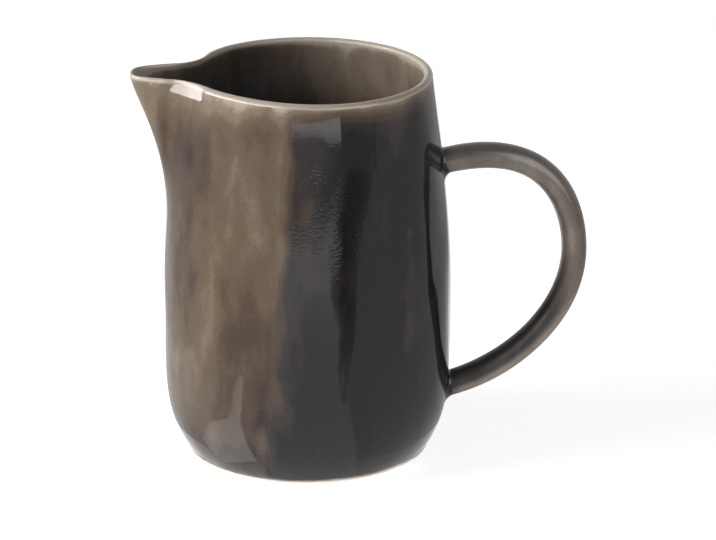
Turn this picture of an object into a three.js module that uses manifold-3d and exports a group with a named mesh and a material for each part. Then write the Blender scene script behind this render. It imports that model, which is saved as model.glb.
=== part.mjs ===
// A glazed stoneware water pitcher, in millimetres with +Z up.
// The body is a revolved vessel whose rim is pulled out into a spout towards -X.
// A loop handle stands on the +X side, and slip lutes its two ends to the wall.
import * as THREE from "three";
import { mergeVertices } from "three/addons/utils/BufferGeometryUtils.js";
import Module from "manifold-3d";

const wasm = await Module();
wasm.setup();

// Body, outside
const RIM_HEIGHT = 164.2;
const RIM_RADIUS = 51.3;
const BELLY_HEIGHT = 72;
const BELLY_RADIUS = 59.4;
const HEEL_RADIUS = 50.8;
const HEEL_ROUNDING = 1.8;
const HEEL_CURVE = 5.2; // exponent: how low the wall stays full before it turns in to the heel
const NECK_CURVE = 1.75; // exponent: how high the wall stays full before it turns in to the rim

// Body, inside and underneath
const WALL = 4.4;
const LIP = 3.4; // thickness of the rim
const SPOUT_LIP = 1.9; // thickness of the spout's lip
const LIP_TAPER = 24; // height over which the wall thins to the lip
const FLOOR = 5.5;
const FLOOR_CORNER = 14;
const FOOT_INSET = 8; // from the heel in to the foot ring
const FOOT_WIDTH = 4.6;
const FOOT_HEIGHT = 2.8;
const FOOT_DRAFT = 1;
const RECESS = 1.8; // depth of the hollow inside the foot ring
const RECESS_DRAFT = 1.5;

// Spout, pulled out of the rim
const SPOUT_REACH = 22.6;
const SPOUT_FALL = 62; // from the rim down to where the spout starts to swell
const SPOUT_CURVE = 1.9; // exponent: how late the spout swings out
const SPOUT_UPTURN = 0.1; // share of the reach by which the spout stands up again at its tip
const TIP_CURVE = 12; // exponent: how close to the rim it does so
const SPOUT_ANGLE = 11; // degrees from its middle to where it has half its reach
const SPOUT_ANGLE_BELOW = 17; // the same, where the spout starts to swell
const SPOUT_FLATNESS = 3.8; // exponent: how square the spout's end is, seen from above
const FRONT_DENT = { depth: 5.4, angle: 56, spread: 32 }; // hollow beside the spout on the -Y side
const BACK_DENT = { depth: 3.9, angle: 16, spread: 13.8 }; // and on the +Y side
const DENT_BLEND = 0.1; // sine of the angle over which one gives way to the other
const SPOUT_LIP_ANGLES = [12, 30]; // from the spout's middle, where its lip starts and stops thickening

// Handle
const HANDLE_REACH = 51.1; // from the belly to the middle of the handle
const HANDLE_THICKNESS = 10.6;
const HANDLE_WIDTH = 12.4;
const UPPER_ROOT_DROP = 38.4; // below the rim
const LOWER_ROOT_HEIGHT = 27.8;
const BEND_SHARE = 0.61; // height of the furthest point, from the lower root to the upper root
const UPPER_ROOT_LIFT = 14.4; // degrees above level at which the handle leaves the wall
const LOWER_ROOT_LIFT = 15.9;
const UPPER_FULLNESS = [0.88, 0.43]; // pull of the curve's ends, as shares of its run and drop
const LOWER_FULLNESS = [0.55, 0.46];

// Slip that lutes the handle on
const SEAM = 0.3; // clearance between pieces
const SLIP_BED = 0.8; // thickness between the wall and the handle's end
const SLIP_FILLET = 3.4; // under the handle
const SLIP_FILLET_ABOVE = 0.9;
const SLIP_EDGE = 0.4; // thickness where the fillet runs out on the handle and the wall

// Fineness of the facets
const COLUMNS = 64;
const CROWDING = 0.6; // draws columns towards the spout, and rows towards the rim and heel
const WALL_ROWS = 18;
const LIP_ROWS = 6;
const CORNER_ROWS = 5;
const HEEL_ROWS = 3;
const HANDLE_SIDES = 22;
const HANDLE_STEPS = 36;
const FILLET_SIDES = 22;
const FILLET_ROWS = 6;
const ANGLE_STEP = 1e-4; // for the slope of the skin's outline
const WALL_PASSES = 6; // rounds of closing in on the wall
const MERGE_DISTANCE = 1e-4;

const DEGREE = Math.PI / 180;
const lerp = THREE.MathUtils.lerp;
const clamp = THREE.MathUtils.clamp;
const smoothstep = THREE.MathUtils.smoothstep;
const crowd = (share) => share - (CROWDING * Math.sin(2 * Math.PI * share)) / (2 * Math.PI);
const shares = (count) => Array.from({ length: count + 1 }, (_, i) => i / count);

const lipRise = LIP / 2;
const lipHeight = RIM_HEIGHT - lipRise;
const heelHeight = FOOT_HEIGHT + HEEL_ROUNDING;
const floorHeight = RECESS + FLOOR;

// Radius of the plain revolved wall at a height
function wallRadius(height) {
  if (height < BELLY_HEIGHT) {
    const share = (BELLY_HEIGHT - height) / (BELLY_HEIGHT - heelHeight);
    return BELLY_RADIUS - (BELLY_RADIUS - HEEL_RADIUS) * share ** HEEL_CURVE;
  }
  const share = (height - BELLY_HEIGHT) / (RIM_HEIGHT - BELLY_HEIGHT);
  return BELLY_RADIUS - (BELLY_RADIUS - RIM_RADIUS) * share ** NECK_CURVE;
}

// Degrees from the middle of the spout to either side
const degreesAway = (angle) => Math.abs(Math.atan2(Math.sin(angle), Math.cos(angle))) / DEGREE;

// Depth of a hollow beside the spout
const hollow = (dent, away) => dent.depth * Math.exp(-0.5 * ((away - dent.angle) / dent.spread) ** 2);

// Radius of the wall with its spout and hollows, by the angle from the middle of the spout
function skinRadius(angle, height) {
  const rise = clamp((height - RIM_HEIGHT + SPOUT_FALL) / SPOUT_FALL, 0, 1);
  const swell = (1 + SPOUT_UPTURN) * rise ** SPOUT_CURVE - SPOUT_UPTURN * rise ** TIP_CURVE;
  const away = degreesAway(angle);
  const halfAngle = lerp(SPOUT_ANGLE_BELOW, SPOUT_ANGLE, rise);
  const spout = SPOUT_REACH / (1 + (away / halfAngle) ** SPOUT_FLATNESS);
  const frontShare = (1 + Math.tanh(Math.sin(angle) / DENT_BLEND)) / 2;
  const dent = lerp(hollow(BACK_DENT, away), hollow(FRONT_DENT, away), frontShare);
  return wallRadius(height) + swell * (spout - dent);
}

// Thickness of the wall, which thins towards the lip, and more so at the spout
function thickness(angle, height) {
  const beside = smoothstep(degreesAway(angle), ...SPOUT_LIP_ANGLES);
  const taper = smoothstep(height, lipHeight - LIP_TAPER, lipHeight);
  return lerp(WALL, lerp(SPOUT_LIP, LIP, beside), taper);
}

// Point at a depth behind the outer skin, measured square to the skin's outline at that height
function skinPoint(angle, height, depth) {
  const radius = skinRadius(angle, height);
  const rise = skinRadius(angle + ANGLE_STEP, height) - skinRadius(angle - ANGLE_STEP, height);
  const slope = rise / (2 * ANGLE_STEP);
  const length = Math.hypot(radius, slope);
  const out = radius - (depth * radius) / length;
  const along = (depth * slope) / length;
  return new THREE.Vector3(
    -out * Math.cos(angle) + along * Math.sin(angle),
    -out * Math.sin(angle) - along * Math.cos(angle),
    height,
  );
}

// Heights of the wall's rows, closer together at both ends
function wallHeights(from, to) {
  return shares(WALL_ROWS).map((share) => lerp(from, to, crowd(share)));
}

// Closed revolved solid from rows of { height, depth behind the skin at an angle } or { height, radius }
function revolve(rows) {
  const outline = rows.map(({ height, radius = 1 }) => new THREE.Vector2(radius, height));
  const geometry = new THREE.LatheGeometry(outline, COLUMNS);
  const position = geometry.getAttribute("position");
  shares(COLUMNS).forEach((share, column) => {
    const angle = 2 * Math.PI * crowd(share);
    rows.forEach(({ height, depth, radius }, row) => {
      const point = radius === undefined
        ? skinPoint(angle, height, depth(angle))
        : new THREE.Vector3(-radius * Math.cos(angle), -radius * Math.sin(angle), height);
      position.setXYZ(column * rows.length + row, point.x, point.y, point.z);
    });
  });
  return geometry;
}

// Foot ring and the turned underside, from the axis out to the heel
function undersideRows() {
  const footOuter = HEEL_RADIUS - FOOT_INSET;
  const footInner = footOuter - FOOT_WIDTH;
  const heel = shares(HEEL_ROWS).slice(0, -1).map((share) => ({
    radius: HEEL_RADIUS - HEEL_ROUNDING * (1 - Math.sin((share * Math.PI) / 2)),
    height: heelHeight - HEEL_ROUNDING * Math.cos((share * Math.PI) / 2),
  }));
  return [
    { radius: 0, height: RECESS },
    { radius: footInner - RECESS_DRAFT, height: RECESS },
    { radius: footInner, height: 0 },
    { radius: footOuter, height: 0 },
    { radius: footOuter + FOOT_DRAFT, height: FOOT_HEIGHT },
    ...heel,
  ];
}

// Rounded lip, from the outer skin over to the inner one
function lipRows() {
  return shares(LIP_ROWS).slice(1, -1).map((share) => ({
    depth: (angle) => (thickness(angle, lipHeight) / 2) * (1 - Math.cos(share * Math.PI)),
    height: lipHeight + lipRise * Math.sin(share * Math.PI),
  }));
}

// Floor of the vessel, from the rounded corner in to the axis
function floorRows() {
  const cornerTop = floorHeight + FLOOR_CORNER;
  const corner = shares(CORNER_ROWS).slice(1).map((share) => {
    const turn = (share * Math.PI) / 2;
    const height = cornerTop - FLOOR_CORNER * Math.sin(turn);
    return { height, radius: wallRadius(cornerTop) - WALL - FLOOR_CORNER * (1 - Math.cos(turn)) };
  });
  return [...corner, { radius: 0, height: floorHeight }];
}

function bodyGeometry() {
  const outer = wallHeights(heelHeight, lipHeight).map((height) => ({ height, depth: () => 0 }));
  const inner = wallHeights(lipHeight, floorHeight + FLOOR_CORNER)
    .map((height) => ({ height, depth: (angle) => thickness(angle, height) }));
  return revolve([...undersideRows(), ...outer, ...lipRows(), ...inner, ...floorRows()]);
}

// The body's outer skin as a filled solid, grown by a clearance
function filledBody(clearance) {
  const skin = wallHeights(heelHeight, lipHeight)
    .map((height) => ({ height, depth: () => -clearance }));
  return revolve([{ radius: 0, height: heelHeight }, ...skin, { radius: 0, height: lipHeight }]);
}

// Where a handle end meets the wall, and the direction in which the handle leaves it
function handleRoot(height, lift) {
  return {
    point: new THREE.Vector3(wallRadius(height), 0, height),
    outward: new THREE.Vector3(Math.cos(lift * DEGREE), 0, Math.sin(lift * DEGREE)),
  };
}

const upperRoot = handleRoot(RIM_HEIGHT - UPPER_ROOT_DROP, UPPER_ROOT_LIFT);
const lowerRoot = handleRoot(LOWER_ROOT_HEIGHT, LOWER_ROOT_LIFT);

// Middle line of the handle, run on into the wall at both ends so that the ends can be trimmed
function handlePath() {
  const bend = new THREE.Vector3(
    BELLY_RADIUS + HANDLE_REACH, 0, lerp(lowerRoot.point.z, upperRoot.point.z, BEND_SHARE));
  const half = (root, [runShare, dropShare]) => [
    root.point,
    root.point.clone().addScaledVector(root.outward, runShare * (bend.x - root.point.x)),
    new THREE.Vector3(bend.x, 0, lerp(bend.z, root.point.z, dropShare)),
    bend,
  ];
  const inWall = (root) => root.point.clone().addScaledVector(root.outward, -WALL);
  const path = new THREE.CurvePath();
  path.add(new THREE.LineCurve3(inWall(upperRoot), upperRoot.point));
  path.add(new THREE.CubicBezierCurve3(...half(upperRoot, UPPER_FULLNESS)));
  path.add(new THREE.CubicBezierCurve3(...half(lowerRoot, LOWER_FULLNESS).reverse()));
  path.add(new THREE.LineCurve3(lowerRoot.point, inWall(lowerRoot)));
  return path;
}

// Oval rod along the middle line, grown by a clearance
function handleRod(clearance) {
  const section = new THREE.Shape();
  const across = HANDLE_WIDTH / 2 + clearance;
  const through = HANDLE_THICKNESS / 2 + clearance;
  section.absellipse(0, 0, across, through, 0, 2 * Math.PI);
  return new THREE.ExtrudeGeometry(section, {
    extrudePath: handlePath(),
    steps: HANDLE_STEPS,
    curveSegments: HANDLE_SIDES / 2, // a full ellipse gets two points for each
    bevelEnabled: false,
  });
}

// Distance along a root's direction from a point beside the root to the wall
function reachToWall(point, outward) {
  let reach = 0;
  for (let pass = 0; pass < WALL_PASSES; pass += 1) {
    const at = point.clone().addScaledVector(outward, reach);
    reach += wallRadius(at.z) - Math.hypot(at.x, at.y);
  }
  return reach;
}

// Collar round a handle end with a hollow round fillet, larger under the handle than above it,
// which follows the wall and runs on into it
function filletCollar(root) {
  const rod = HANDLE_THICKNESS / 2 + SEAM + SLIP_EDGE;
  const foot = SEAM + SLIP_EDGE;
  const flare = shares(FILLET_ROWS).map((share) => {
    const turn = (share * Math.PI) / 2;
    return new THREE.Vector2(
      rod + SLIP_FILLET * (1 - Math.sin(turn)), foot + SLIP_FILLET * (1 - Math.cos(turn)));
  });
  const outline = [
    new THREE.Vector2(0, -SLIP_BED),
    new THREE.Vector2(rod + SLIP_FILLET, -SLIP_BED),
    ...flare,
    new THREE.Vector2(0, foot + SLIP_FILLET),
  ];
  const collar = new THREE.LatheGeometry(outline, FILLET_SIDES);
  const across = new THREE.Vector3(0, 1, 0);
  const through = root.outward.clone().cross(across);
  const position = collar.getAttribute("position");
  for (let i = 0; i < position.count; i += 1) {
    const [up, side] = [position.getX(i), position.getZ(i)];
    const out = Math.hypot(up, side) || 1;
    const below = (1 - up / out) / 2;
    const size = lerp(SLIP_FILLET_ABOVE, SLIP_FILLET, below) / SLIP_FILLET;
    const grow = (rod + Math.max(out - rod, 0) * size) / Math.max(out, rod);
    const lift = position.getY(i) - Math.max(position.getY(i) - foot, 0) * (1 - size);
    const beside = root.point.clone()
      .addScaledVector(through, up * grow)
      .addScaledVector(across, side * grow * (HANDLE_WIDTH / HANDLE_THICKNESS));
    const point = beside.addScaledVector(root.outward, lift + reachToWall(beside, root.outward));
    position.setXYZ(i, point.x, point.y, point.z);
  }
  return collar;
}

// Solid for cutting and joining, from a closed geometry
function solid(geometry) {
  const bare = geometry.clone();
  bare.deleteAttribute("normal");
  bare.deleteAttribute("uv");
  const merged = mergeVertices(bare, MERGE_DISTANCE);
  return new wasm.Manifold(new wasm.Mesh({
    numProp: 3,
    vertProperties: new Float32Array(merged.getAttribute("position").array),
    triVerts: new Uint32Array(merged.index.array),
  }));
}

// Named mesh from a solid
function piece(name, shape, colour) {
  const { vertProperties, triVerts } = shape.getMesh();
  const geometry = new THREE.BufferGeometry();
  geometry.setAttribute("position", new THREE.BufferAttribute(vertProperties, 3));
  geometry.setIndex(new THREE.BufferAttribute(triVerts, 1));
  geometry.computeVertexNormals();
  const material = new THREE.MeshStandardMaterial({ color: colour, roughness: 0.12, metalness: 0 });
  const mesh = new THREE.Mesh(geometry, material);
  mesh.name = name;
  return mesh;
}

const rodWithoutEnds = solid(handleRod(0)).subtract(solid(filledBody(SLIP_BED + 2 * SEAM)));
const rodPocket = solid(handleRod(SEAM)).subtract(solid(filledBody(SLIP_BED + SEAM)));
const wallPocket = solid(filledBody(SEAM));

function lutingJoint(root) {
  return solid(filletCollar(root)).subtract(wallPocket).subtract(rodPocket);
}

const pitcher = new THREE.Group();
pitcher.name = "water_pitcher";
pitcher.add(
  piece("body", solid(bodyGeometry()), 0x5f564d),
  piece("handle", rodWithoutEnds, 0x665c52),
  piece("upper_luting_joint", lutingJoint(upperRoot), 0x3c3632),
  piece("lower_luting_joint", lutingJoint(lowerRoot), 0x3c3632),
);

// The origin is on the table, under the middle of the pitcher's length
const box = new THREE.Box3().setFromObject(pitcher);
pitcher.position.x = -(box.min.x + box.max.x) / 2;

export default pitcher;
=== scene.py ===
import math

import bpy
import numpy as np
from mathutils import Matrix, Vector


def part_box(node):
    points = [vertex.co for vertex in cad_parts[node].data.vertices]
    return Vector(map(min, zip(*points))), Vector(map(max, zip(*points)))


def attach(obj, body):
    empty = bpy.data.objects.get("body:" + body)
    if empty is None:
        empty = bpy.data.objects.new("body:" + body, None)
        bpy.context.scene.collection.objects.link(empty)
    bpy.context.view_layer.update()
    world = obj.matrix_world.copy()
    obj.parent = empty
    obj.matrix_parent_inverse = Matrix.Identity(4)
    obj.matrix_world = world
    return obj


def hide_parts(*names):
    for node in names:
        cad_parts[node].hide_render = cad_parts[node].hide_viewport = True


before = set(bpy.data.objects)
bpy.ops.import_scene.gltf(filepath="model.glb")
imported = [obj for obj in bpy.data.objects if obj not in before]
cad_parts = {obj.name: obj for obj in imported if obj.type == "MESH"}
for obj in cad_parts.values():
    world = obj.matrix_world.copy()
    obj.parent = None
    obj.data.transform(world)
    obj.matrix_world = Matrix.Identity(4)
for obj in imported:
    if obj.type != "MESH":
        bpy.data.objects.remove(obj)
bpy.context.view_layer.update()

MM = 0.001               # metres
CM = 10                  # millimetres
ACROSS = np.array([0.0, 1.0, 0.0])   # square to the plane through spout and handle

# Body, in millimetres from its own axis, with angles in degrees from the spout's middle
RIM_HEIGHT = 164.2
RIM_RADIUS = 51.3
BELLY_HEIGHT = 72
BELLY_RADIUS = 59.4
HEEL_RADIUS = 50.8
HEEL_ROUNDING = 1.8
HEEL_CURVE = 5.2
NECK_CURVE = 1.75
WALL = 4.4
LIP = 3.4                # thickness of the rim
SPOUT_LIP = 1.9          # thickness of the spout's lip
LIP_TAPER = 24           # height over which the wall thins to the lip
LIP_FLARE = 0.16         # how far the wall turns out again at the lip
LIP_FLARE_FALL = 8       # and over what height
LIP_FLARE_ANGLES = (24, 50)      # angles between which it sets in beside the spout
FLOOR = 5.5
FLOOR_CORNER = 14
FOOT_INSET = 8
FOOT_WIDTH = 4.6
FOOT_HEIGHT = 2.8
FOOT_DRAFT = 1
FOOT_EDGE = 0.5
RECESS = 1.8
RECESS_DRAFT = 1.5

# Spout
SPOUT_REACH = 22.6
SPOUT_FALL = 62
SPOUT_CURVE = 1.9
SPOUT_UPTURN = 0.1
TIP_CURVE = 12
SPOUT_ANGLE = 11
SPOUT_ANGLE_BELOW = 17
SPOUT_FLATNESS = 3.8
SPOUT_LIP_ANGLES = (12, 30)      # angles between which the spout's lip becomes the plain lip
FRONT_DENT = (5.4, 56, 32)       # hollow beside the spout on the camera's side: depth, angle, spread
BACK_DENT = (3.9, 16, 13.8)      # and on the far side
DENT_BLEND = 0.1                 # sine of the angle over which one hollow gives way to the other
PRESS_ANGLES = (12.5, 14, 30, 32.5)  # thumb prints that slant the edge of the lip beside the spout
PRESS_SLOPES = (0.36, 0.24)      # at their spout end and at their other end
PRESS_FALL = 3.4
PRESS_EDGE = 0.3

# Handle and the slip that lutes it on
HANDLE_REACH = 51.1
HANDLE_THICKNESS = 10.6
HANDLE_WIDTH = 12.4
HANDLE_SUNK = 2.5        # how far the rod's ends run into the wall
UPPER_ROOT_DROP = 38.4
LOWER_ROOT_HEIGHT = 27.8
BEND_SHARE = 0.61
UPPER_ROOT_LIFT = 14.4
LOWER_ROOT_LIFT = 15.9
UPPER_FULLNESS = (0.88, 0.43)
LOWER_FULLNESS = (0.55, 0.46)
SLIP_FILLET = 3.4        # below each root
SLIP_FILLET_ABOVE = 0.9
SUNK = 0.4               # how far a fillet's hidden back lies inside the wall and the rod

# Unevenness of the wall: millimetres, waves round the body, height of one wave, start
WOBBLE = [
    (0.12, 2, 290, 0.7),
    (0.10, 5, -150, 2.1),
    (0.09, 9, 105, 0.4),
    (0.065, 13, -82, 1.3),
    (0.045, 17, 60, 4.0),
    (0.03, 7, 41, 2.6),
]
WOBBLE_RISE = 14         # height above the heel over which it sets in
WOBBLE_FADE = 30         # height over which it fades out again
WOBBLE_PAST_RIM = 4      # how far above the rim that would end

# Unevenness of the rod: share of its thickness, length for each radian of a wave, start
HANDLE_WOBBLE = [
    (0.012, 17, 0.5),
    (0.008, 7.3, 0.0),
]

# Glaze that runs thin at the lip and at the heel, and is duller where it is thin
LIP_TOP_THIN_AND_HIGHLIGHT = 1.25      # on the rounded top of the lip, partly thin glaze and partly painted highlight
LIP_THIN = 0.75          # on the outside below it
LIP_FADE = 6.5           # over what height
LIP_FADE_DIPPED = 4.5    # and where the second dip covers it
LIP_DIP_START = (85, 112)        # angles between which that dip sets in at the lip
LIP_DIP_END = (250, 290)         # and between which it ends
INNER_LIP_THIN = 0.6     # on the inside just below the lip
INNER_LIP_FADE = 2
INNER_WALL_THIN = 0.2    # and further down
INNER_SPOUT_THIN = 0.4   # with this much more in the spout
INNER_WALL_FADE = 7
INNER_SPOUT_ANGLES = (8, 40)     # angles between which that ends
HEEL_THIN = 0.8
HEEL_FADE = 0.4
THIN_MATT = 0.25         # how much duller thin glaze is
THIN_MATT_START = 0.6    # from which thinness on
THIN_MATT_RANGE = 0.6    # and over what range

# Painted shade on the spout's side and painted light beside the second dip, as thicker and thinner glaze,
# which even out the key's falloff
SPOUT_SIDE_PAINTED_SHADE = 0.10
DIP_SIDE_PAINTED_LIGHT = 0.07
PAINTED_SIDE_ANGLES = (30, 78)     # angles between which one gives way to the other
LOW_GREY = 0.22                  # how much greyer it is low on the outside
LOW_GREY_HEIGHTS = (10, 90)      # heights between which that ends

# Second, darker dip of glaze over the handle's half
DIP_FRONT = 83
DIP_BACK = 292
DIP_BACK_SHARPNESS = 0.12
DIP_SHIFT = 5                    # how much further its front edge reaches in the middle
DIP_MIDDLE = (60, 18, 35)        # height of that place, and its spread above and below
DIP_LOW_SHIFT = 6.5              # how much further it reaches low down
DIP_LOW_HEIGHTS = (30, 60)       # heights between which that ends
DIP_SOFTNESS = 0.35              # softness of its edge, in centimetres
DIP_SOFTNESS_MIDDLE = 1.3        # and how much softer the edge is in the middle
DIP_LIMIT = 5                    # centimetres to either side of the edge that are told apart

# Cloudy places in the glaze, partly painted light and shade that evens out the lit tones, such as the
# lightened front of the spout's tip: angle, height, half the angle, half the height, extra thickness
CLOUDS_AND_PAINTED_LIGHT = [
    # painted light on the front of the spout's tip
    (5, 150, 6, 9, -0.28),
    (12, 146, 1.3, 9, 0.20),
    (24, 140, 5, 9, 0.12),
    (38, 139, 9, 10, 0.22),
    (52, 135, 7, 7, -0.13),
    (35, 156, 14, 3, -0.08),
    (52, 159, 14, 4, -0.12),
    (72, 152, 11, 5, 0.16),
    (32, 108, 5, 15, 0.13),
    (45, 113, 2.5, 3, 0.10),
    (42, 94, 5, 9, 0.09),
    (70, 92, 6, 14, 0.12),
    (50, 83, 3, 14, -0.12),
    (34, 74, 4, 8, 0.07),
    (66, 72, 7, 12, 0.18),
    (41, 58, 6, 18, -0.13),
    (67, 36, 6, 24, 0.13),
    (22, 40, 7, 13, -0.26),
    (58, 31, 7, 10, 0.14),
    (72, 24, 2.5, 4, -0.14),
    (56, 13, 9, 9, 0.14),
    (65, 4, 30, 12, 0.34),
    (87, 132, 5, 26, -0.20),
    (101, 120, 4, 20, 0.05),
    (107, 92, 6, 30, 0.06),
    (136, 108, 0.7, 2, -0.42),
]
# Painted reflections inside, as soft pale spots: angle, height, half the angle, half the height, extra
# thickness
INSIDE_PAINTED_REFLECTIONS = [
    (267, 149, 4, 6, -0.16),
    (234, 150, 6, 7, -0.08),
]

# Rippled places in the glaze: angle, height, half the angle, half the height, extra ripple
RIPPLES = [
    (95, 118, 8, 13, 19),
    (90, 107, 7, 4, 9),
    (110, 104, 6, 16, 17),
    (131, 100, 3, 8, 9),
]

# Glaze on the inside, with painted shade, a painted highlight and painted reflections
INSIDE_PAINTED_HIGHLIGHT = 0.50              # painted highlight in the spout, as thinner glaze
INSIDE_HIGHLIGHT_RADII = (58, 72)    # radii between which the spout sets in
INSIDE_HIGHLIGHT_HEIGHTS = (135, 158)
INSIDE_PAINTED_SHADE = 0.34               # painted shade on the far wall near the spout, as thicker glaze
INSIDE_SHADE_START = (255, 296)   # angles between which that wall sets in
INSIDE_SHADE_END = (10, 40)       # and between which it ends
INSIDE_SHADE_TOP = (-2, 0.5)      # heights from the lip between which that painted shade ends
INSIDE_GREY = 0.15               # how much greyer it is
INSIDE_GREY_SHADE = 0.85          # and on that far wall, as part of its painted shade
INSIDE_GREY_TOP = (-14, 0)       # heights from the lip between which the wall's grey ends
INSIDE_GLOSS = 0.05              # extra mirroring
INSIDE_MATT = 0.3                # how much duller it is

# Glaze that pools round the handle's ends
POOL_WIDTH = 6           # beside the rod
POOL_CORE = 1.5          # along the rod, where it is full
POOL_REACH = 6           # and beyond that, until it ends
POOL_CURVE = 1.5

# Glaze on the handle
HANDLE_THIN = 0.28       # how much thinner it runs than on the body
HANDLE_MATT = 0.2        # how much duller it is
HANDLE_MATT_LOW = 0.4    # and on the lower run
HANDLE_GLOSS = 0.16      # extra mirroring
HANDLE_GLOSS_LOW = 0.04  # and on the lower run
HANDLE_GREY = 0.35       # how much greyer it is
LOWER_RUN = (92, 58)     # heights between which the lower run sets in
UPPER_RUN = (108, 124)   # and the upper one

# Painted light and shade round the rod, as extra or missing glaze, darker where it faces up or out and
# lighter where it faces down or in: run, side, extra thickness, and between which slopes to that side it
# sets in
HANDLE_PAINTED_LIGHT_AND_SHADE = [
    ("lower", "up", 0.62, -0.3, 0.1),
    ("lower", "up", -0.04, 0.0, -0.5),
    ("upper", "up", 0.1, -0.3, 0.8),
    ("bend", "out", 0.14, 0.0, 0.7),
    ("bend", "out", -0.06, -0.5, -0.95),
]

# Fineness of the meshes
COLUMNS = 224
CROWDING = 0.45
WALL_ROWS = 96
LIP_ROWS = 20
CORNER_ROWS = 20
FLOOR_RINGS = 10
HEEL_ROWS = 8
FOOT_EDGE_ROWS = 5
HANDLE_SIDES = 48
HANDLE_STEPS = 150
CURVE_STEPS = 400
FILLET_SIDES = 72
FILLET_ROWS = 14
REACH_STEPS = 8
CARD_STEPS = 17

# Stage, in metres
FLOOR_SIZE = 12.0
FLOOR_GREY = 0.75        # what the floor gives back of the light
FLOOR_WHITE = 0.86       # its own white, to which its lit part adds the rest
SURROUND_LIGHT = 0.1     # light from the surround, which is seen as white
CARD_LAYER = 0.001       # gap between the sheets that lie over one another on the floor
LAMP_TARGET_HEIGHT = 0.09
BOUNCE_TARGET = Vector((0.16, -0.2, 0.09))

# Camera, in metres and degrees
CAMERA_DISTANCE = 1.58
CAMERA_ELEVATION = 19.54
CAMERA_TARGET = Vector((-0.0008, 0, 0.0781))
CAMERA_LENS = 191.35     # millimetres
SENSOR = 36              # millimetres

lip_rise = LIP / 2
lip_height = RIM_HEIGHT - lip_rise
heel_height = FOOT_HEIGHT + HEEL_ROUNDING
floor_height = RECESS + FLOOR
corner_top = floor_height + FLOOR_CORNER
foot_outer = HEEL_RADIUS - FOOT_INSET
foot_inner = foot_outer - FOOT_WIDTH
under_edge = HEEL_RADIUS - HEEL_ROUNDING
axis_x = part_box("body")[1].x - BELLY_RADIUS * MM


# Curves and outlines

def crowd(share):
    """Draws even shares closer together at both ends."""
    return share - CROWDING * np.sin(2 * np.pi * share) / (2 * np.pi)


def smoothstep(value, start, end):
    """0 before one value and 1 past the other, eased between."""
    share = np.clip((value - start) / (end - start), 0, 1)
    return share * share * (3 - 2 * share)


def bell(value, middle, spread):
    """1 at the middle, falling off softly to both sides."""
    return np.exp(-0.5 * ((value - middle) / spread) ** 2)


def degrees_away(angle):
    """Degrees from the middle of the spout to either side."""
    return np.degrees(np.abs(np.arctan2(np.sin(angle), np.cos(angle))))


def degrees_round(points):
    """Degrees of points round the body's axis, from the spout by the camera's side to the handle and on."""
    return np.degrees(np.arctan2(-points[:, 1], -points[:, 0])) % 360


def wall_radius(height):
    """Radius of the plain revolved wall."""
    height = np.asarray(height, float)
    low = np.clip((BELLY_HEIGHT - height) / (BELLY_HEIGHT - heel_height), 0, None)
    high = np.clip((height - BELLY_HEIGHT) / (RIM_HEIGHT - BELLY_HEIGHT), 0, None)
    return (BELLY_RADIUS - (BELLY_RADIUS - HEEL_RADIUS) * low ** HEEL_CURVE
            - (BELLY_RADIUS - RIM_RADIUS) * high ** NECK_CURVE)


def hand_wobble(angle, height):
    """Slight unevenness of a hand-finished wall, in millimetres."""
    rise = np.clip((height - heel_height) / WOBBLE_RISE, 0, 1)
    fade = np.clip((RIM_HEIGHT + WOBBLE_PAST_RIM - height) / WOBBLE_FADE, 0, 1)
    wave = 0
    for amount, turns, length, start in WOBBLE:
        wave = wave + amount * np.sin(turns * angle + 2 * np.pi * height / length + start)
    return rise * fade * wave


def hollow(dent, away):
    """Depth of a hollow beside the spout."""
    depth, angle, spread = dent
    return depth * bell(away, angle, spread)


def skin_radius(angle, height):
    """Radius of the wall with its spout and hollows, by the angle from the spout's middle."""
    rise = np.clip((height - RIM_HEIGHT + SPOUT_FALL) / SPOUT_FALL, 0, 1)
    swell = (1 + SPOUT_UPTURN) * rise ** SPOUT_CURVE - SPOUT_UPTURN * rise ** TIP_CURVE
    away = degrees_away(angle)
    half_angle = SPOUT_ANGLE_BELOW + (SPOUT_ANGLE - SPOUT_ANGLE_BELOW) * rise
    spout = SPOUT_REACH / (1 + (away / half_angle) ** SPOUT_FLATNESS)
    front = (1 + np.tanh(np.sin(angle) / DENT_BLEND)) / 2
    dent = hollow(FRONT_DENT, away) * front + hollow(BACK_DENT, away) * (1 - front)
    flare = np.clip((height - RIM_HEIGHT + LIP_FLARE_FALL) / LIP_FLARE_FALL, 0, 1)
    return (wall_radius(height) + swell * (spout - dent) + hand_wobble(angle, height)
            + LIP_FLARE * flare ** 2 * smoothstep(away, *LIP_FLARE_ANGLES))


def skin_points(angle, height, depth):
    """Points at a depth behind the skin, measured square to its outline at that height."""
    step = 1e-4
    radius = skin_radius(angle, height)
    slope = (skin_radius(angle + step, height) - skin_radius(angle - step, height)) / (2 * step)
    length = np.hypot(radius, slope)
    out = radius - depth * radius / length
    along = depth * slope / length
    x = -out * np.cos(angle) + along * np.sin(angle)
    y = -out * np.sin(angle) - along * np.cos(angle)
    return np.stack([x, y, np.broadcast_to(height, x.shape)], -1)


def wall_thickness(angle, height):
    """Thickness of the wall, which thins toward the lip, and more so at the spout."""
    lip = SPOUT_LIP + (LIP - SPOUT_LIP) * smoothstep(degrees_away(angle), *SPOUT_LIP_ANGLES)
    return WALL + (lip - WALL) * smoothstep(height, lip_height - LIP_TAPER, lip_height)


def thumb_press(angle, height):
    """How far the thumb prints slant the wall inward just below the lip."""
    start, full, fading, end = PRESS_ANGLES
    away = degrees_away(angle)
    above = (height - lip_height + PRESS_FALL) / PRESS_EDGE
    depth = PRESS_EDGE * np.logaddexp(0, above)
    slope = np.interp(away, (full, fading), PRESS_SLOPES)
    return slope * depth * smoothstep(away, start, full) * (1 - smoothstep(away, fading, end))


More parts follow.
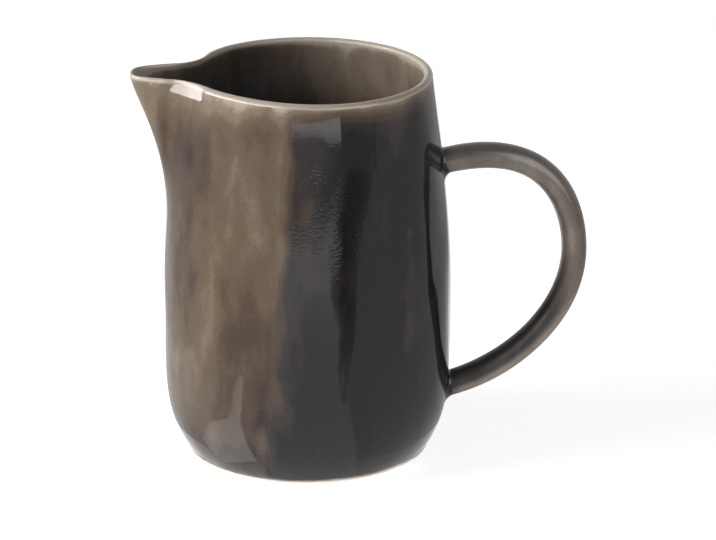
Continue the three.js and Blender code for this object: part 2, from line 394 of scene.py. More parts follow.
def ring_points(angle, radius, height):
    """Points of a plain round ring."""
    return np.stack([-radius * np.cos(angle), -radius * np.sin(angle), np.full_like(angle, height)], -1)


def arc(centre, radius, start, end, count):
    """Points (out, up) of a round edge, with its angles in degrees."""
    turn = np.radians(np.linspace(start, end, count))
    return [(centre[0] + radius * math.cos(t), centre[1] + radius * math.sin(t)) for t in turn]


def straight(start, end, shares):
    """Points (out, up) at shares of a straight stretch."""
    return [(start[0] + (end[0] - start[0]) * t, start[1] + (end[1] - start[1]) * t) for t in shares]


def foot_profile():
    """Underside from the middle of the recess out to the heel, as (radius, height)."""
    recess_edge = (foot_inner - RECESS_DRAFT, RECESS)
    ring_start = (foot_inner, 0)
    ring_end = (foot_outer, 0)
    side_start = (foot_outer, FOOT_EDGE)
    side_end = (foot_outer + FOOT_DRAFT, FOOT_HEIGHT)
    heel_start = (under_edge, FOOT_HEIGHT)
    rings = straight((0, RECESS), recess_edge, [(k + 1) / FLOOR_RINGS for k in range(FLOOR_RINGS)])
    rings += straight(recess_edge, ring_start, (0.35, 0.7, 0.92))
    rings += straight(ring_start, ring_end, (0.05, 0.2, 0.5, 0.8))
    rings += arc((foot_outer - FOOT_EDGE, FOOT_EDGE), FOOT_EDGE, -90, 0, FOOT_EDGE_ROWS)
    rings += straight(side_start, side_end, (0.3, 0.6, 0.9))
    rings += straight(side_end, heel_start, (0.05, 0.3, 0.6, 0.9))
    rings += arc((under_edge, heel_height), HEEL_ROUNDING, -90, 0, HEEL_ROWS)[:-1]
    return rings


def root(height, lift):
    """Where a handle end meets the wall, and the direction in which it leaves."""
    point = np.array([float(wall_radius(height)), 0.0, height])
    outward = np.array([math.cos(math.radians(lift)), 0.0, math.sin(math.radians(lift))])
    return point, outward


upper_root = root(RIM_HEIGHT - UPPER_ROOT_DROP, UPPER_ROOT_LIFT)
lower_root = root(LOWER_ROOT_HEIGHT, LOWER_ROOT_LIFT)


# Values of the glaze at the points of a mesh

def second_dip(points):
    """Distance past the edge of the darker second dip, and the softness of that edge, in centimetres."""
    angle = degrees_round(points)
    height = points[:, 2]
    middle_height, above, below = DIP_MIDDLE
    middle = bell(height, middle_height, np.where(height > middle_height, above, below))
    low = 1 - smoothstep(height, *DIP_LOW_HEIGHTS)
    radius = np.maximum(np.hypot(points[:, 0], points[:, 1]), 1) / CM
    front = np.radians(angle - DIP_FRONT + DIP_SHIFT * middle + DIP_LOW_SHIFT * low) * radius
    back = np.radians(DIP_BACK - angle) * radius
    past = np.minimum(front, back * DIP_BACK_SHARPNESS)
    return np.clip(past, -DIP_LIMIT, DIP_LIMIT), DIP_SOFTNESS + DIP_SOFTNESS_MIDDLE * middle


def spots(points, places):
    """Sum of soft spots, each with its angle, height, half the angle, half the height and amount."""
    angle = degrees_round(points)
    total = np.zeros(len(points))
    for middle, height, wide, tall, amount in places:
        aside = (angle - middle + 180) % 360 - 180
        total += amount * bell(aside, 0, wide) * bell(points[:, 2], height, tall)
    return total


def outside_cloud_and_painted_light(points):
    """Extra or missing glaze outside: painted shade toward the spout and painted light beside the second
    dip, which even out the key's falloff, and the cloudy places, partly painted light and shade.
    """
    angle = degrees_round(points)
    away = np.minimum(angle, 360 - angle)
    # painted shade toward the spout and painted light beside the second dip
    side = SPOUT_SIDE_PAINTED_SHADE - (SPOUT_SIDE_PAINTED_SHADE + DIP_SIDE_PAINTED_LIGHT) * smoothstep(away, *PAINTED_SIDE_ANGLES)
    return side + spots(points, CLOUDS_AND_PAINTED_LIGHT)


def painted_shade_wall(points):
    """1 on the far inner wall near the spout, which carries painted shade, and 0 elsewhere."""
    angle = degrees_round(points)
    return np.maximum(smoothstep(angle, *INSIDE_SHADE_START), 1 - smoothstep(angle, *INSIDE_SHADE_END))


def inside_painted_light_and_shade(points):
    """Extra or missing glaze inside: a painted highlight in the spout as thinner glaze, painted shade on
    the far wall near it as thicker glaze, and painted reflections.
    """
    radius = np.hypot(points[:, 0], points[:, 1])
    # painted highlight in the spout's channel
    spout = smoothstep(radius, *INSIDE_HIGHLIGHT_RADII) * smoothstep(points[:, 2], *INSIDE_HIGHLIGHT_HEIGHTS)
    deep = 1 - smoothstep(points[:, 2] - lip_height, *INSIDE_SHADE_TOP)
    return INSIDE_PAINTED_SHADE * deep * painted_shade_wall(points) - INSIDE_PAINTED_HIGHLIGHT * spout + spots(points, INSIDE_PAINTED_REFLECTIONS)


def greyness(points, inside):
    """How much greyer the glaze is on the inside, most in the painted shade of the far wall, and low on the
    outside.
    """
    deep = 1 - smoothstep(points[:, 2] - lip_height, *INSIDE_GREY_TOP)
    inner = INSIDE_GREY + (INSIDE_GREY_SHADE - INSIDE_GREY) * deep * painted_shade_wall(points)
    outer = LOW_GREY * (1 - smoothstep(points[:, 2], *LOW_GREY_HEIGHTS))
    return inside * inner + (1 - inside) * outer


def pooling(points):
    """How much glaze pools near the handle's two ends, from 0 to 1."""
    pool = np.zeros(len(points))
    for point, outward in (upper_root, lower_root):
        offset = points - point
        along = offset @ outward
        beside = np.linalg.norm(offset - along[:, None] * outward, axis=1)
        ring = np.clip((beside - HANDLE_THICKNESS / 2) / POOL_WIDTH, 0, 1)
        reach = np.clip((np.abs(along) - POOL_CORE) / POOL_REACH, 0, 1)
        pool = np.maximum(pool, ((1 - ring) * (1 - reach)) ** POOL_CURVE)
    return pool


# Pieces

def new_mesh(name, points, faces, attributes):
    """Smooth mesh object in the frame, from millimetres about the body's axis."""
    mesh = bpy.data.meshes.new(name)
    placed = points * MM + np.array([axis_x, 0, 0])
    mesh.from_pydata(placed.tolist(), [], faces)
    mesh.polygons.foreach_set("use_smooth", [True] * len(mesh.polygons))
    for key, values in attributes.items():
        layer = mesh.attributes.new(key, "FLOAT", "POINT")
        layer.data.foreach_set("value", np.full(len(points), values, np.float32))
    mesh.validate()
    piece = bpy.data.objects.new(name, mesh)
    bpy.context.scene.collection.objects.link(piece)
    return piece


def tube_faces(rings, sides):
    """Quads between neighbouring rings of equal size, each ring closed on itself."""
    return [(r * sides + s, r * sides + (s + 1) % sides,
             (r + 1) * sides + (s + 1) % sides, (r + 1) * sides + s)
            for r in range(rings - 1) for s in range(sides)]


def wall_heights(start, end):
    """Heights of the rings of a wall, closer together at both ends."""
    return start + (end - start) * crowd(np.linspace(0, 1, WALL_ROWS))


def foot_rings(angle):
    """Rings of the underside and the heel's rounding: points, thinness of the glaze, share inside."""
    for radius, height in foot_profile():
        yield ring_points(angle, radius, height), HEEL_THIN, 0.0


def outer_rings(angle):
    """The same for the outer wall, from the heel up to the lip."""
    turn = np.degrees(angle)
    dipped = smoothstep(turn, *LIP_DIP_START) * (1 - smoothstep(turn, *LIP_DIP_END))
    lip_fade = LIP_FADE + (LIP_FADE_DIPPED - LIP_FADE) * dipped
    for height in wall_heights(heel_height, lip_height):
        edge = LIP_THIN * np.exp(-(lip_height - height) / lip_fade)
        heel = HEEL_THIN * math.exp(-(height - heel_height) / HEEL_FADE)
        yield skin_points(angle, height, thumb_press(angle, height)), edge + heel, 0.0


def lip_rings(angle):
    """The same for the rounded lip, from outside to inside."""
    pressed = thumb_press(angle, lip_height)
    thickness = wall_thickness(angle, lip_height) - pressed
    for turn in np.linspace(0, np.pi, LIP_ROWS)[1:-1]:
        depth = pressed + thickness / 2 * (1 - math.cos(turn))
        points = skin_points(angle, lip_height + lip_rise * math.sin(turn), depth)
        yield points, LIP_TOP_THIN_AND_HIGHLIGHT, turn / np.pi


def inner_rings(angle):
    """The same for the inner wall, from the lip down to the floor's rounded corner."""
    spout_side = 1 - smoothstep(degrees_away(angle), *INNER_SPOUT_ANGLES)
    wall_thin = INNER_WALL_THIN + INNER_SPOUT_THIN * spout_side
    for height in wall_heights(lip_height, corner_top):
        below = lip_height - height
        lip_edge = INNER_LIP_THIN * math.exp(-below / INNER_LIP_FADE)
        wall_edge = wall_thin * math.exp(-below / INNER_WALL_FADE)
        yield skin_points(angle, height, wall_thickness(angle, height)), lip_edge + wall_edge, 1.0


def floor_rings(angle):
    """The same for the rounded corner and the flat floor of the inside."""
    corner_radius = float(wall_radius(corner_top)) - WALL
    for turn in np.linspace(0, np.pi / 2, CORNER_ROWS)[1:]:
        radius = corner_radius - FLOOR_CORNER * (1 - math.cos(turn))
        yield ring_points(angle, radius, corner_top - FLOOR_CORNER * math.sin(turn)), 0.0, 1.0
    floor_radius = corner_radius - FLOOR_CORNER
    for k in range(1, FLOOR_RINGS):
        yield ring_points(angle, floor_radius * (1 - k / FLOOR_RINGS), floor_height), 0.0, 1.0


def make_body():
    """Vessel with its spout: underside, outer wall, lip, inner wall and floor in one closed skin."""
    angle = 2 * np.pi * crowd(np.arange(COLUMNS) / COLUMNS)
    foot = list(foot_rings(angle))
    rings = [*foot, *outer_rings(angle), *lip_rings(angle), *inner_rings(angle), *floor_rings(angle)]
    ring_parts, thin_parts, inside_parts = zip(*rings)
    points = np.concatenate([*ring_parts, [(0, 0, RECESS), (0, 0, floor_height)]])
    thin = np.concatenate([*(np.full(COLUMNS, value) for value in thin_parts), [0, 0]])
    inside = np.concatenate([*(np.full(COLUMNS, value) for value in inside_parts), [0, 1]])
    under = len(rings) * COLUMNS
    over = under + 1
    last = under - COLUMNS
    faces = tube_faces(len(rings), COLUMNS)
    faces += [(under, (s + 1) % COLUMNS, s) for s in range(COLUMNS)]
    faces += [(over, last + s, last + (s + 1) % COLUMNS) for s in range(COLUMNS)]
    past, softness = second_dip(points)
    thin_matt = THIN_MATT * np.clip(thin - THIN_MATT_START, 0, THIN_MATT_RANGE)
    body = new_mesh("pitcher_body", points, faces, {
        "thin": thin,
        "matt": thin_matt + INSIDE_MATT * inside,
        "gloss": INSIDE_GLOSS * inside,
        "grey": greyness(points, inside),
        "ripple": 1 + spots(points, RIPPLES),
        "inside": inside,
        "pool": pooling(points),
        # the cloud value carries painted light and shade as well as cloudy glaze
        "cloud_and_painted_light": np.where(inside > 0.5, inside_painted_light_and_shade(points), outside_cloud_and_painted_light(points)),
        "dip": np.where(inside > 0.5, -DIP_LIMIT, past),
        "dip_soft": softness,
    })
    bare = (len(foot) - 1) * COLUMNS
    slots = [1] * bare + [0] * (len(faces) - bare)
    slots[-2 * COLUMNS:-COLUMNS] = [1] * COLUMNS     # middle of the underside
    body.data.materials.append(glaze)
    body.data.materials.append(bare_clay)
    body.data.polygons.foreach_set("material_index", slots)
    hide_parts("body")
    return body


def bezier(p0, p1, p2, p3, share):
    """Points of a cubic curve."""
    t = share[:, None]
    return (1 - t) ** 3 * p0 + 3 * (1 - t) ** 2 * t * p1 + 3 * (1 - t) * t ** 2 * p2 + t ** 3 * p3


def handle_path():
    """Evenly spaced points along the handle's middle line, run on into the wall at both ends."""
    upper, lower = upper_root[0], lower_root[0]
    bend = np.array([BELLY_RADIUS + HANDLE_REACH, 0, lower[2] + (upper[2] - lower[2]) * BEND_SHARE])

    def controls(start, fullness):
        point, outward = start
        run, drop = fullness
        near_bend = np.array([bend[0], 0, bend[2] + (point[2] - bend[2]) * drop])
        return point, point + outward * run * (bend[0] - point[0]), near_bend, bend

    share = np.linspace(0, 1, CURVE_STEPS)
    top = bezier(*controls(upper_root, UPPER_FULLNESS), share)
    bottom = bezier(*controls(lower_root, LOWER_FULLNESS), share)[::-1]
    path = np.vstack([upper - upper_root[1] * HANDLE_SUNK, top, bottom[1:],
                      lower - lower_root[1] * HANDLE_SUNK])
    length = np.append(0, np.cumsum(np.linalg.norm(np.diff(path, axis=0), axis=1)))
    even = np.linspace(0, length[-1], HANDLE_STEPS)
    return np.stack([np.interp(even, length, path[:, k]) for k in range(3)], -1), even


def oval(turn, through, grown=0.0):
    """Points round the rod's oval section, from its middle, grown by a distance."""
    return (np.outer((HANDLE_THICKNESS / 2 + grown) * np.cos(turn), through)
            + np.outer((HANDLE_WIDTH / 2 + grown) * np.sin(turn), ACROSS))


def paint_rod_shading(path, through, turn):
    """Painted light and shade round the rod as extra thickness of the glaze, and the share of the lower
    run, at each point.
    """
    height = path[:, 2:]
    lower = smoothstep(height, *LOWER_RUN)
    upper = smoothstep(height, *UPPER_RUN)
    runs = {"lower": lower, "upper": upper, "bend": 1 - np.maximum(lower, upper)}
    outward = np.cos(turn)[None, :]
    sides = {"out": outward, "up": outward * through[:, 2:]}
    rod_shading = np.zeros((HANDLE_STEPS, HANDLE_SIDES))
    for run, side, amount, start, end in HANDLE_PAINTED_LIGHT_AND_SHADE:
        rod_shading += amount * runs[run] * smoothstep(sides[side], start, end)
    return rod_shading.ravel(), np.repeat(lower, HANDLE_SIDES)


def make_handle():
    """Pulled loop handle: an oval rod with slightly uneven thickness."""
    path, length = handle_path()
    ahead = np.gradient(path, axis=0)
    ahead /= np.linalg.norm(ahead, axis=1)[:, None]
    through = np.cross(ahead, ACROSS)
    turn = np.linspace(0, 2 * np.pi, HANDLE_SIDES, endpoint=False)
    uneven = 1 + sum(amount * np.sin(length / run + start) for amount, run, start in HANDLE_WOBBLE)
    points = np.concatenate([
        middle + share * oval(turn, side) for middle, share, side in zip(path, uneven, through)])
    faces = [face[::-1] for face in tube_faces(HANDLE_STEPS, HANDLE_SIDES)]
    faces.append(tuple(range(HANDLE_SIDES)))
    faces.append(tuple((HANDLE_STEPS - 1) * HANDLE_SIDES + s for s in reversed(range(HANDLE_SIDES))))
    # painted light and shade of the rod
    rod_shading, lower = paint_rod_shading(path, through, turn)
    handle = new_mesh("pitcher_handle", points, faces, {
        "thin": HANDLE_THIN,
        "matt": HANDLE_MATT + (HANDLE_MATT_LOW - HANDLE_MATT) * lower,
        "gloss": HANDLE_GLOSS + (HANDLE_GLOSS_LOW - HANDLE_GLOSS) * lower,
        "grey": HANDLE_GREY,
        "ripple": 1,
        "inside": 0,
        "pool": pooling(points),
        "cloud_and_painted_light": rod_shading,
        "dip": -DIP_LIMIT,
        "dip_soft": 1,
    })
    handle.data.materials.append(glaze)
    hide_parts("handle")
    return handle


def reach_to_wall(points, outward):
    """Distance along a direction from points beside a root to the wall."""
    reach = np.zeros(len(points))
    for _ in range(REACH_STEPS):
        at = points + reach[:, None] * outward
        angle = np.arctan2(-at[:, 1], -at[:, 0])
        reach += skin_radius(angle, at[:, 2]) - np.hypot(at[:, 0], at[:, 1])
    return reach


def make_fillet(name, start):
    """Fillet of slip between the wall and a handle end, smooth into both."""
    point, outward = start
    through = np.cross(outward, ACROSS)
    turn = np.linspace(0, 2 * np.pi, FILLET_SIDES, endpoint=False)
    below = (1 - np.cos(turn) * np.sign(through[2])) / 2
    size = SLIP_FILLET_ABOVE + (SLIP_FILLET - SLIP_FILLET_ABOVE) * below
    quarter = np.linspace(0, np.pi / 2, FILLET_ROWS)
    profile = [(size * (1 - math.sin(t)), size * (1 - math.cos(t))) for t in quarter]
    profile += [(-SUNK, size), (-SUNK, -SUNK), (size, -SUNK)]
    rings = []
    for out, up in profile:
        beside = point + oval(turn, through, out)
        rings.append(beside + (up + reach_to_wall(beside, outward))[:, None] * outward)
    points = np.concatenate(rings)
    faces = tube_faces(len(rings), FILLET_SIDES)
    last = (len(rings) - 1) * FILLET_SIDES
    for s in range(FILLET_SIDES):
        beyond = (s + 1) % FILLET_SIDES
        faces.append((last + s, last + beyond, beyond, s))
    fillet = new_mesh("pitcher_" + name, points, [face[::-1] for face in faces], {
        "thin": 0,
        "ripple": 1,
        "inside": 0,
        "pool": pooling(points),
        "dip": DIP_LIMIT,
        "dip_soft": 1,
    })
    fillet.data.materials.append(glaze)
    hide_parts(name)
    return fillet


# Materials

class Nodes:
    """Short way to build a material's node tree."""

    def __init__(self, material):
        material.use_nodes = True
        self.tree = material.node_tree
        self.tree.nodes.clear()

    def add(self, kind, inputs=None, **settings):
        """New node with its settings and inputs."""
        node = self.tree.nodes.new(kind)
        for key, value in settings.items():
            setattr(node, key, value)
        for key, value in (inputs or {}).items():
            self.set(node.inputs[key], value)
        return node

    def set(self, socket, value):
        """Links another node's output to an input, or gives it a constant."""
        if isinstance(value, bpy.types.NodeSocket):
            self.tree.links.new(value, socket)
        else:
            socket.default_value = value

    def math(self, operation, a, b):
        """Result of an operation on two values."""
        node = self.add("ShaderNodeMath", operation=operation)
        self.set(node.inputs[0], a)
        self.set(node.inputs[1], b)
        return node.outputs[0]

    def sum(self, *terms, start=0.0):
        """Weighted sum of values."""
        total = start
        for value, weight in terms:
            node = self.add("ShaderNodeMath", operation="MULTIPLY_ADD")
            self.set(node.inputs[0], value)
            self.set(node.inputs[1], weight)
            self.set(node.inputs[2], total)
            total = node.outputs[0]
        return total

    def scaled(self, place, scale):
        """Texture place, drawn out or squeezed along each axis."""
        return self.add("ShaderNodeMapping", {"Vector": place, "Scale": scale}).outputs[0]

    def noise(self, place, scale, detail=2.0, roughness=0.5, distortion=0.0):
        """Noise between about 0 and 1."""
        node = self.add("ShaderNodeTexNoise", {
            "Vector": place, "Scale": scale, "Detail": detail,
            "Roughness": roughness, "Distortion": distortion})
        return node.outputs["Fac"]

    def attribute(self, name):
        """Value that the mesh carries at its points."""
        return self.add("ShaderNodeAttribute", attribute_name=name).outputs["Fac"]

    def ramp(self, factor, stops):
        """Colour along eased stops, each a position and a colour."""
        node = self.add("ShaderNodeValToRGB", {"Fac": factor})
        ramp = node.color_ramp
        ramp.interpolation = "EASE"
        while len(ramp.elements) < len(stops):
            ramp.elements.new(0.5)
        for element, (position, colour) in zip(ramp.elements, stops):
            element.position = position
            element.color = (*colour, 1)
        return node.outputs["Color"]


def glaze_colour(n, place, clouds, patches):
    """Colour by the thickness of the glaze, which also carries painted light and shade: pale where it runs
    thin, near-black where it is thickest.
    """
    streaks = n.noise(n.scaled(place, (1.0, 1.0, 0.07)), 240.0, roughness=0.6)
    grain = n.noise(place, 850.0, roughness=0.6)
    thin = n.attribute("thin")
    edge = n.math("MULTIPLY", n.math("SUBTRACT", clouds, 0.5), 0.6)
    past = n.math("DIVIDE", n.math("ADD", n.attribute("dip"), edge), n.attribute("dip_soft"))
    dipped = n.add("ShaderNodeMapRange", {"Value": past, "From Min": -1.0, "From Max": 1.0},
                   interpolation_type="SMOOTHSTEP").outputs[0]
    second = n.math("MULTIPLY", dipped, n.math("SUBTRACT", 1.0, thin))
    # the mesh's cloud value adds painted light and shade to the thickness
    thickness = n.sum((clouds, 0.55), (patches, 0.36), (streaks, 0.08), (grain, 0.14), (thin, -0.5),
                      (n.attribute("pool"), 0.42), (second, 0.63), (n.attribute("inside"), -0.11),
                      (n.attribute("cloud_and_painted_light"), 1.0), start=-0.1)
    return n.ramp(thickness, [
        (0.0, (0.62, 0.525, 0.42)),
        (0.22, (0.28, 0.212, 0.150)),
        (0.45, (0.168, 0.117, 0.077)),
        (0.66, (0.095, 0.063, 0.044)),
        (0.86, (0.037, 0.0275, 0.025)),
        (1.0, (0.013, 0.0118, 0.0118)),
    ])


def with_pinholes(n, place, colour):
    """Colour with a few small dark pinholes."""
    cells = n.add("ShaderNodeTexVoronoi", {"Vector": place, "Scale": 380.0})
    draw = n.add("ShaderNodeSeparateColor", {0: cells.outputs["Color"]}).outputs[0]
    chosen = n.math("GREATER_THAN", draw, 0.9)
    near = n.math("LESS_THAN", cells.outputs["Distance"], 0.13)
    pinhole = n.math("MULTIPLY", n.math("MULTIPLY", chosen, near), 0.45)
    speckled = n.add("ShaderNodeMix", {"Factor": pinhole}, data_type="RGBA")
    n.set(speckled.inputs["A"], colour)
    n.set(speckled.inputs["B"], (0.02, 0.016, 0.014, 1))
    return speckled.outputs["Result"]


def glaze_bumps(n, place, tall):
    """Slight orange peel, stronger in the rippled places, over a broad swell."""
    flat = n.scaled(place, (0.6, 0.6, 1.2))
    peel = n.math("MULTIPLY", n.noise(flat, 900.0), n.attribute("ripple"))
    swell = n.noise(tall, 95.0, detail=1.0, roughness=0.4)
    fine = n.add("ShaderNodeBump", {"Strength": 0.11, "Distance": 0.00004, "Height": peel}).outputs[0]
    return n.add("ShaderNodeBump", {
        "Strength": 0.7, "Distance": 0.0003, "Height": swell, "Normal": fine}).outputs[0]


def make_glaze():
    """Glossy brown reactive glaze: pale where it runs thin, dark where it pools, cloudy between, with
    painted light, shade and reflections in its colour.
    """
    material = bpy.data.materials.new("brown_glaze")
    n = Nodes(material)
    place = n.add("ShaderNodeTexCoord").outputs["Object"]
    tall = n.scaled(place, (1.0, 1.0, 0.5))
    clouds = n.noise(tall, 45.0, distortion=0.3)
    patches = n.noise(tall, 130.0, distortion=0.2)
    colour = with_pinholes(n, place, glaze_colour(n, place, clouds, patches))
    saturation = n.math("SUBTRACT", 1.0, n.attribute("grey"))
    greyed = n.add("ShaderNodeHueSaturation", {"Color": colour, "Saturation": saturation})
    rough = n.add("ShaderNodeMapRange", {
        "Value": patches, "From Min": 0.3, "From Max": 0.7, "To Min": 0.03, "To Max": 0.07}).outputs[0]
    shader = n.add("ShaderNodeBsdfPrincipled", {
        "Base Color": greyed.outputs[0],
        "IOR": 1.5,
        "Roughness": n.math("ADD", rough, n.attribute("matt")),
        "Specular IOR Level": n.math("ADD", n.attribute("gloss"), 0.32),
        "Normal": glaze_bumps(n, place, tall)})
    n.add("ShaderNodeOutputMaterial", {"Surface": shader.outputs[0]})
    return material


def make_bare_clay():
    """Pale unglazed clay of the underside and the heel, with grog specks and a dry surface."""
    material = bpy.data.materials.new("bare_clay")
    n = Nodes(material)
    place = n.add("ShaderNodeTexCoord").outputs["Object"]
    tone = n.noise(place, 180.0, detail=4.0, roughness=0.6)
    colour = n.ramp(tone, [(0.3, (0.50, 0.46, 0.425)), (0.7, (0.63, 0.585, 0.545))])
    grain = n.noise(place, 1800.0, detail=3.0, roughness=0.6)
    bump = n.add("ShaderNodeBump", {"Strength": 0.4, "Distance": 0.0001, "Height": grain})
    rough = n.add("ShaderNodeMapRange", {
        "Value": grain, "From Min": 0.3, "From Max": 0.7, "To Min": 0.7, "To Max": 0.9}).outputs[0]
    shader = n.add("ShaderNodeBsdfPrincipled", {
        "Base Color": colour, "Roughness": rough, "Normal": bump.outputs[0]})
    n.add("ShaderNodeOutputMaterial", {"Surface": shader.outputs[0]})
    return material


# Stage

def seen_directly(n):
    """1 for rays from the camera and for those mirrored or bent by the object, else 0."""
    path = n.add("ShaderNodeLightPath")
    seen = n.math("MAXIMUM", path.outputs["Is Camera Ray"], path.outputs["Is Glossy Ray"])
    return n.math("MAXIMUM", seen, path.outputs["Is Transmission Ray"])


def make_floor():
    """Pale floor that keeps the shadow."""
    half = FLOOR_SIZE / 2
    corners = [(-half, -half, 0), (half, -half, 0), (half, half, 0), (-half, half, 0)]
    mesh = bpy.data.meshes.new("floor")
    mesh.from_pydata(corners, [], [(0, 1, 2, 3)])
    floor = bpy.data.objects.new("floor", mesh)
    bpy.context.scene.collection.objects.link(floor)
    material = bpy.data.materials.new("pale_floor")
    n = Nodes(material)
    diffuse = n.add("ShaderNodeBsdfDiffuse", {"Color": (FLOOR_GREY, FLOOR_GREY, FLOOR_GREY, 1)})
    strength = n.math("MULTIPLY", seen_directly(n), FLOOR_WHITE)
    white = n.add("ShaderNodeEmission", {"Color": (1, 1, 1, 1), "Strength": strength})
    both = n.add("ShaderNodeAddShader", {0: diffuse.outputs[0], 1: white.outputs[0]})
    n.add("ShaderNodeOutputMaterial", {"Surface": both.outputs[0]})
    mesh.materials.append(material)


def make_surround():
    """Surround that is seen as white and gives little light."""
    world = bpy.data.worlds.new("surround")
    bpy.context.scene.world = world
    n = Nodes(world)
    dim = n.add("ShaderNodeBackground", {"Color": (1, 1, 1, 1), "Strength": SURROUND_LIGHT})
    white = n.add("ShaderNodeBackground", {"Color": (1, 1, 1, 1), "Strength": 1.0})
    mix = n.add("ShaderNodeMixShader", {0: seen_directly(n), 1: dim.outputs[0], 2: white.outputs[0]})
    n.add("ShaderNodeOutputWorld", {"Surface": mix.outputs[0]})


def make_card(name, rows, strengths):
    """Sheet that shows only in reflections, through rows of points in metres, each with its strength."""
    count = len(rows[0])
    mesh = bpy.data.meshes.new(name)
    faces = [(r * count + k, r * count + k + 1, (r + 1) * count + k + 1, (r + 1) * count + k)
             for r in range(len(rows) - 1) for k in range(count - 1)]
    mesh.from_pydata([point for row in rows for point in row], [], faces)
    layer = mesh.attributes.new("glow", "FLOAT", "POINT")
    layer.data.foreach_set("value", np.full((len(rows), count), strengths, np.float32).ravel())
    card = bpy.data.objects.new(name, mesh)
    bpy.context.scene.collection.objects.link(card)
    material = bpy.data.materials.new(name)
    n = Nodes(material)
    glow = n.add("ShaderNodeEmission", {"Color": (1, 1, 1, 1), "Strength": n.attribute("glow")})
    n.add("ShaderNodeOutputMaterial", {"Surface": glow.outputs[0]})
    mesh.materials.append(material)
    card.visible_camera = False
    card.visible_diffuse = False
    card.visible_shadow = False


def around(azimuth, distance, height):
    """Point round the body's axis, in metres: azimuth 0 is the camera's side, 90 the handle's."""
    turn = math.radians(azimuth)
    return (axis_x + distance * math.sin(turn), -distance * math.cos(turn), height)


def lying(*rows, layer=1):
    """Rows of points of a sheet near the floor, each row through its places (azimuth, distance)."""
    points = []
    for places in rows:
        azimuths, distances = zip(*places)
        steps = np.arange(len(places))
        share = np.linspace(0, steps[-1], CARD_STEPS)
        spread = zip(np.interp(share, steps, azimuths), np.interp(share, steps, distances))
        points.append([around(azimuth, distance, layer * CARD_LAYER) for azimuth, distance in spread])
    return points


def standing(low_edge, distance, tops):
    """Two rows of points of an upright sheet, from the azimuths and heights of its lower edge."""
    tops = np.broadcast_to(tops, len(low_edge))
    return ([around(azimuth, distance, height) for azimuth, height in low_edge],
            [around(azimuth, distance, top) for (azimuth, _), top in zip(low_edge, tops)])


def along(shares, strengths):
    """Strengths along a row of a lying sheet, from those at shares of its length."""
    return np.interp(np.linspace(0, 1, CARD_STEPS), shares, strengths)


def make_front_cards():
    """Bright sheet before the pitcher, the dim floor behind it and the dim wall behind both."""
    sheet = lying([(-20, 0.05), (24.5, 0.05)],
                  [(-26, 0.2), (26.5, 0.2)],
                  [(-26, 0.45), (28.5, 0.45)],
                  [(-25, 0.85), (31.5, 0.85)],
                  [(-21, 1.04), (-6, 1.07), (1.4, 1.14), (11, 1.2), (20, 2.0), (30, 2.0)], layer=2)
    fade = along([0, 0.12], [0.75, 1])
    make_card("front_sheet", sheet, strengths=np.outer([1.35, 1.35, 2.05, 2.0, 2.0], fade))
    gap = lying([(-24, 0.85), (30, 0.85)], [(-24, 2.6), (30, 2.6)])
    make_card("front_gap", gap, strengths=0.6)
    azimuths = np.linspace(-26, 58, 15)
    dark = standing([(azimuth, 0.0) for azimuth in azimuths], distance=2.6, tops=1.2)
    make_card("front_dark", dark, strengths=np.interp(azimuths, [4, 10, 22, 28], [0.9, 0.85, 0.65, 0.6]))


def make_dark_strip():
    """Long dark strip on the floor to the right of the bright sheet: two sides and the least strength."""
    strip = [
        ((24, 0.14), (27, 0.14), 0.8),
        ((22, 0.17), (29, 0.17), 0.65),
        ((21, 0.2), (32, 0.2), 0.5),
        ((22, 0.25), (34, 0.24), 0.3),
        ((18.5, 0.34), (36, 0.32), 0.08),
        ((16.5, 0.43), (37, 0.45), 0.03),
        ((22, 0.54), (37.5, 0.54), 0.03),
        ((25, 0.74), (38.5, 0.7), 0.03),
        ((23.5, 1.3), (41, 0.97), 0.1),
        ((22.5, 2.0), (48, 1.5), 0.25),
        ((21.5, 2.6), (54, 2.6), 0.5),
    ]
    rows = lying(*((left, right) for left, right, _ in strip), layer=3)
    least = np.array([strength for _, _, strength in strip])[:, None]
    make_card("dark_strip", rows, strengths=np.maximum(least, along([0, 0.3, 0.55, 1], [1, 0.1, 0.1, 0.5])))


def make_left_cards():
    """Bright tongue on the floor at the left, over a dim floor."""
    tongue = lying([(-48.5, 0.18), (-45.5, 0.18)],
                   [(-53, 0.15), (-45, 0.16)],
                   [(-52.5, 0.107), (-44, 0.114)],
                   [(-62, 0.093), (-43.5, 0.106)],
                   [(-65, 0.068), (-37.5, 0.083)],
                   [(-54.5, 0.058), (-29.5, 0.067)],
                   [(-48, 0.054), (-26, 0.061)], layer=2)
    make_card("left_tongue", tongue, strengths=along([0, 0.4, 1], [1.4, 2.4, 2.6]))
    shade = lying([(-150, 0.062), (-28, 0.062)], [(-150, 1.6), (-22, 1.6)])
    make_card("left_shade", shade, strengths=0.7)


def make_right_card():
    """Dim floor at the right, round to the handle's side."""
    shade = lying([(26, 0.062), (140, 0.062)],
                  [(29.5, 0.18), (140, 0.18)],
                  [(31.5, 0.26), (140, 0.26)],
                  [(35.3, 0.45), (158, 0.45)],
                  [(36, 0.8), (168, 0.8)],
                  [(42, 1.5), (168, 1.5)])
    near = along([0.2, 0.5, 0.7, 0.9, 1], [0.9, 0.7, 0.5, 0.5, 0.8])
    far = along([0.2, 0.5, 0.85, 1], [0.9, 0.6, 0.55, 0.3])
    make_card("right_shade", shade, strengths=[near, near, near, far, far, far])


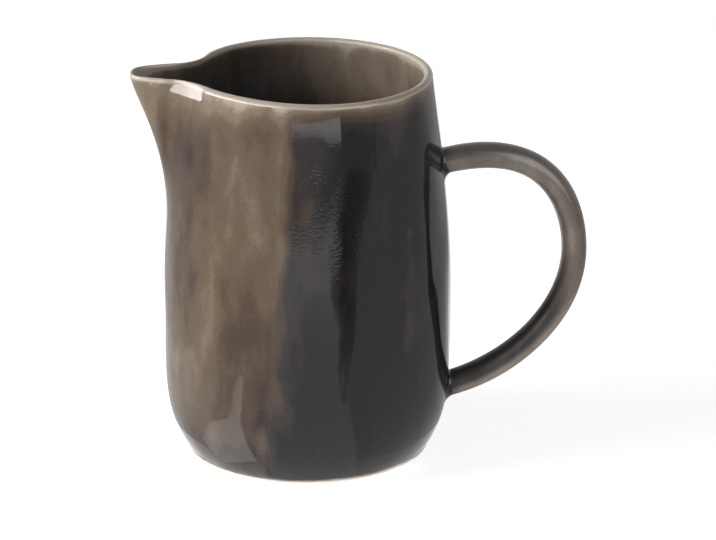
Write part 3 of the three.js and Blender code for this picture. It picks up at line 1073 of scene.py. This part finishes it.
def make_high_cards():
    """Window before the pitcher and a softbox on either side, which give the small highlights."""
    window = [(-23.5, 0.52), (-11.4, 0.44), (-0.7, 0.35), (8.2, 0.285), (21.8, 0.245)]
    panes = standing(window, distance=2.5, tops=[0.66, 0.58, 0.50, 0.45, 0.42])
    make_card("window", panes, strengths=[[2.4], [5.5]])
    left = [(-36, 0.44), (-60, 0.39), (-75, 0.34), (-86, 0.29), (-94, 0.26), (-108, 0.26)]
    make_card("left_softbox", standing(left, distance=1.2, tops=0.85), strengths=16.5)
    right = [(azimuth, 0.30) for azimuth in np.linspace(14, 66, 9)]
    make_card("right_softbox", standing(right, distance=1.3, tops=1.9), strengths=5.0)


def make_lamp(name, azimuth, elevation, distance, size, power, target):
    """Area lamp round a target: azimuth 0 is the camera's side, and 90 the handle's side."""
    a, e = math.radians(azimuth), math.radians(elevation)
    toward = Vector((math.sin(a) * math.cos(e), -math.cos(a) * math.cos(e), math.sin(e)))
    lamp = bpy.data.lights.new(name, "AREA")
    lamp.shape = "RECTANGLE"
    lamp.size, lamp.size_y = size
    lamp.energy = power
    holder = bpy.data.objects.new(name, lamp)
    holder.location = target + toward * distance
    holder.rotation_euler = toward.to_track_quat("Z", "Y").to_euler()
    holder.visible_camera = False
    holder.visible_glossy = False
    bpy.context.scene.collection.objects.link(holder)


def make_lamps():
    """Large soft key from the spout's side, a weak fill and a low bounce from the handle's side."""
    middle = Vector((axis_x, 0, LAMP_TARGET_HEIGHT))
    make_lamp("key", azimuth=-76, elevation=22, distance=1.1, size=(0.8, 0.8), power=11.2, target=middle)
    make_lamp("fill", azimuth=48, elevation=10, distance=1.1, size=(0.5, 0.5), power=0.8, target=middle)
    make_lamp("bounce", azimuth=0, elevation=-90, distance=0.088, size=(0.45, 0.35), power=0.7,
              target=BOUNCE_TARGET)


def make_camera():
    """Camera at the photograph's viewing angle."""
    data = bpy.data.cameras.new("camera")
    data.lens = CAMERA_LENS
    data.sensor_width = SENSOR
    elevation = math.radians(CAMERA_ELEVATION)
    back = Vector((0, -math.cos(elevation), math.sin(elevation)))
    camera = bpy.data.objects.new("camera", data)
    camera.location = CAMERA_TARGET + back * CAMERA_DISTANCE
    camera.rotation_euler = back.to_track_quat("Z", "Y").to_euler()
    bpy.context.scene.collection.objects.link(camera)
    bpy.context.scene.camera = camera


bpy.context.scene.view_settings.view_transform = "Standard"
glaze = make_glaze()
bare_clay = make_bare_clay()
pieces = [make_body(), make_handle(), make_fillet("upper_luting_joint", upper_root),
          make_fillet("lower_luting_joint", lower_root)]
for piece in pieces:
    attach(piece, "root")
make_floor()
make_surround()
make_front_cards()
make_dark_strip()
make_left_cards()
make_right_card()
make_high_cards()
make_lamps()
make_camera()
